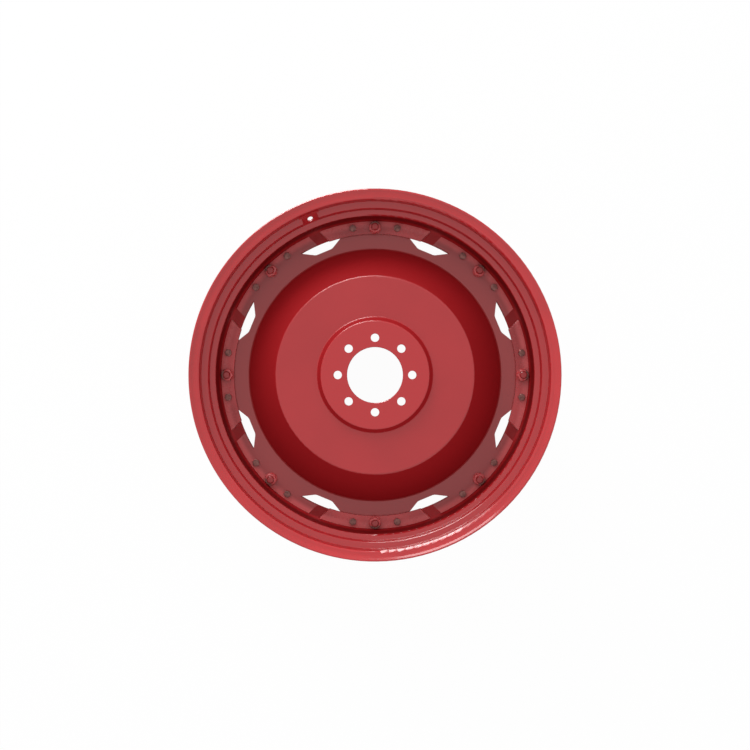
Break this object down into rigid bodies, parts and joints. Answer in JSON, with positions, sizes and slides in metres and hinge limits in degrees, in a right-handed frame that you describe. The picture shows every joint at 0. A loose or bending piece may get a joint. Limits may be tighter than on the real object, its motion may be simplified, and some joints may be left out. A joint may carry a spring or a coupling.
{
  "type": "tractor wheel rim",
  "caption": "Wide agricultural wheel: a rolled rim with stepped bead seats and a well, and a dished disc with hub bore, stud holes and windows, bolted to lugs in the well.",
  "frame": {"origin": "on the wheel's axis, at the hub's mounting face, in the middle of the stud circle", "axes": "+Z along the wheel's axis out of its front, +Y up in the front view, +X right"},
  "size_m": [1.016, 1.0159, 0.444],
  "materials": {
    "rim_paint": "gloss red paint",
    "disc_paint": "gloss red paint",
    "lug_paint": "gloss red paint",
    "bolt_paint": "red paint over steel",
    "fastener_steel": "dull zinc plating"
  },
  "bodies": {
    "root": {"rim": "rim_paint", "disc": "disc_paint", "lug_plate_top": "lug_paint", "lug_plate_right": "lug_paint", "lug_plate_bottom": "lug_paint", "lug_plate_left": "lug_paint", "rim_lug_1": "lug_paint", "rim_lug_2": "lug_paint", "rim_lug_3": "lug_paint", "rim_lug_4": "lug_paint", "rim_lug_5": "lug_paint", "rim_lug_6": "lug_paint", "rim_lug_7": "lug_paint", "rim_lug_8": "lug_paint", "plate_centre_bolts": "bolt_paint", "tab_centre_bolts": "bolt_paint", "centre_nuts": "fastener_steel", "centre_washers": "fastener_steel", "plate_side_bolts": "fastener_steel", "tab_side_bolts": "fastener_steel", "side_nuts": "fastener_steel", "side_washers": "fastener_steel"}
  },
  "joints": []
}
